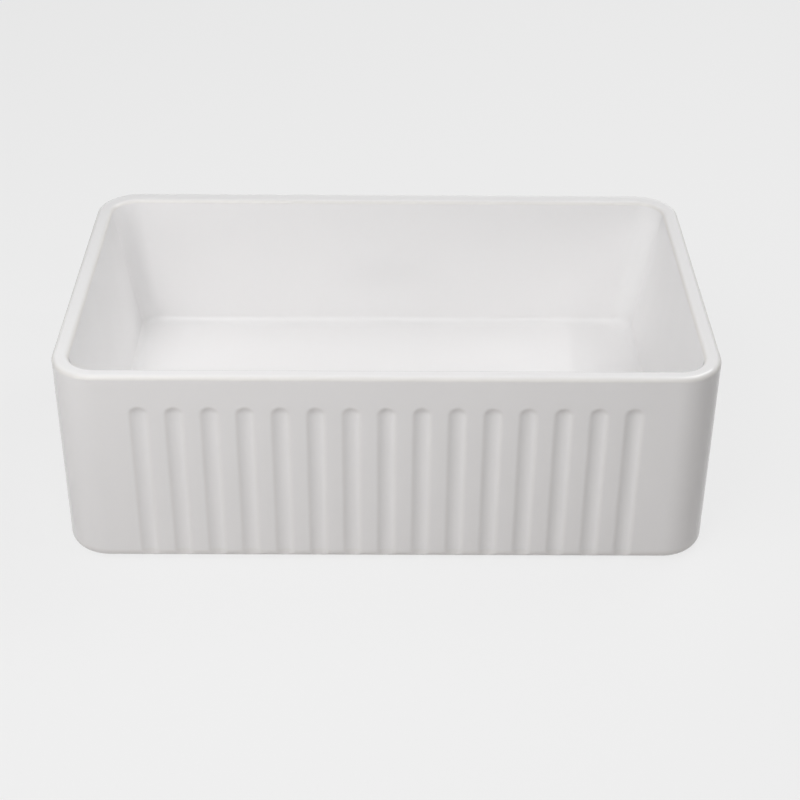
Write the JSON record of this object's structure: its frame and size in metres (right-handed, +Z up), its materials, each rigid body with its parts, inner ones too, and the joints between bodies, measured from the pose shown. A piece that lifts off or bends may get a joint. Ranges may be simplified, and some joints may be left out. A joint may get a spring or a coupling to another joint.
{
  "type": "apron front sink",
  "caption": "Rectangular fireclay kitchen sink with a deep fluted apron, one tapered bowl and a basket strainer waste with a pull-up stopper in its floor.",
  "frame": {"origin": "middle of the footprint, on the surface that the sink's foot rests on", "axes": "+Z up, +X to the right of someone facing the apron, and the fluted apron looks along -Y"},
  "size_m": [0.76, 0.46, 0.255],
  "materials": {
    "glaze": "white glaze, gloss, fired on fireclay",
    "stainless": "pressed stainless steel, satin",
    "zinc": "die-cast zinc alloy, dull grey",
    "rubber": "black rubber, matt",
    "fibre": "pressed fibre, matt",
    "sealant": "off-white sealant, satin",
    "white_plastic": "white polyethylene, matt",
    "brass": "turned brass, satin"
  },
  "bodies": {
    "sink": {"sink_body": "glaze", "flange_seal": "sealant", "strainer_cup": "stainless", "under_gasket": "rubber", "friction_ring": "fibre", "lock_nut": "zinc", "outlet_washer": "white_plastic", "coupling_nut": "zinc"},
    "basket": {"basket_cup": "stainless", "guide_bush": "brass", "stem_o_ring": "rubber"},
    "stopper": {"stem": "stainless", "pull_knob": "stainless", "stopper_washer": "stainless", "stopper_disc": "rubber", "clamp_washer": "stainless", "stem_nut": "stainless"}
  },
  "joints": [
    {"name": "basket_lift", "type": "slide", "parent": "sink", "child": "basket", "axis": [0, 0, 1], "range_m": [0, 0.24]},
    {"name": "stopper_pull", "type": "slide", "parent": "basket", "child": "stopper", "axis": [0, 0, 1], "range_m": [0, 0.008]}
  ]
}
